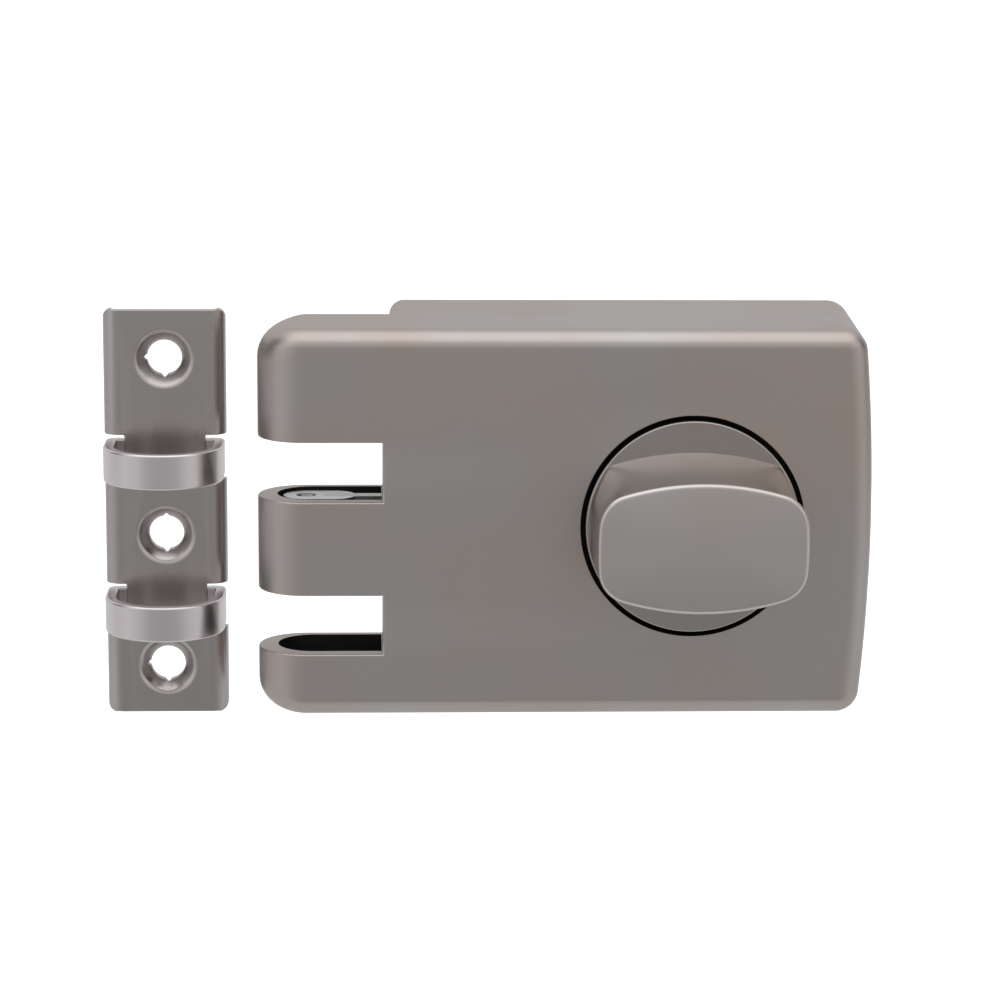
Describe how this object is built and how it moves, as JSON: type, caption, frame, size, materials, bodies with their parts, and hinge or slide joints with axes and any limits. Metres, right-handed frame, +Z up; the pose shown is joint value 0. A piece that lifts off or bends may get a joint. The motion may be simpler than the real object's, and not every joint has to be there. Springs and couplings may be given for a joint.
{
  "type": "rim deadlock",
  "caption": "Surface-mounted rim deadlock with a thumb turn that drops bolts through the loops of its strike.",
  "frame": {"origin": "on the thumb turn's axis, at the door's face, which is the back of the mounting plate", "axes": "+Y into the door, so the lock's front faces -Y; +Z up; the fingers and the strike point to -X"},
  "size_m": [0.1526, 0.0582, 0.082],
  "materials": {
    "satin_nickel": "fine satin nickel plating with a warm pearl tint",
    "satin_nickel_turn": "satin nickel plating, slightly brighter",
    "strike_nickel": "satin nickel plating on pressed steel",
    "zinc_steel": "zinc-plated pressed steel",
    "bright_steel": "machined steel",
    "hard_steel": "hardened blackened steel",
    "spring_steel": "blued spring steel",
    "bronze": "sintered bronze",
    "brass": "turned brass",
    "washer_plastic": "black acetal"
  },
  "bodies": {
    "lock_case": {"case": "satin_nickel", "mounting_plate": "zinc_steel", "case_screws": "zinc_steel", "mechanism_cover": "zinc_steel", "cover_screws": "hard_steel", "guide_pins": "bright_steel", "turn_bush": "bronze", "rear_bush": "bronze", "turn_washer": "washer_plastic", "detent_spring": "spring_steel", "spring_posts": "bright_steel"},
    "turn": {"thumb_turn": "satin_nickel_turn", "turn_spindle": "bright_steel", "retaining_ring": "spring_steel", "cam": "zinc_steel", "cam_pin": "hard_steel", "crank_pin": "bright_steel", "tailpiece_driver": "brass"},
    "bolt_works": {"bolt_carriage": "zinc_steel", "upper_bolt": "bright_steel", "lower_bolt": "bright_steel", "hardened_pins": "hard_steel", "bolt_rivets": "bright_steel"},
    "strike": {"strike_plate": "strike_nickel", "upper_loop": "strike_nickel", "lower_loop": "strike_nickel"}
  },
  "joints": [
    {"name": "thumb_turn_spin", "type": "hinge", "parent": "lock_case", "child": "turn", "pos_m": [0, -0.03, 0], "axis": [0, -1, 0], "range_deg": [0, 90], "deforming": ["detent_spring"]},
    {"name": "bolt_drop", "type": "slide", "parent": "lock_case", "child": "bolt_works", "axis": [0, 0, -1], "range_m": [0, 0.0145]},
    {"name": "strike_approach", "type": "slide", "parent": "lock_case", "child": "strike", "axis": [1, 0, 0], "range_m": [0, 0.0305]}
  ],
  "couplings": [
    {"joint": "bolt_drop", "follows": "thumb_turn_spin", "m_per_rad": 0.009231}
  ]
}
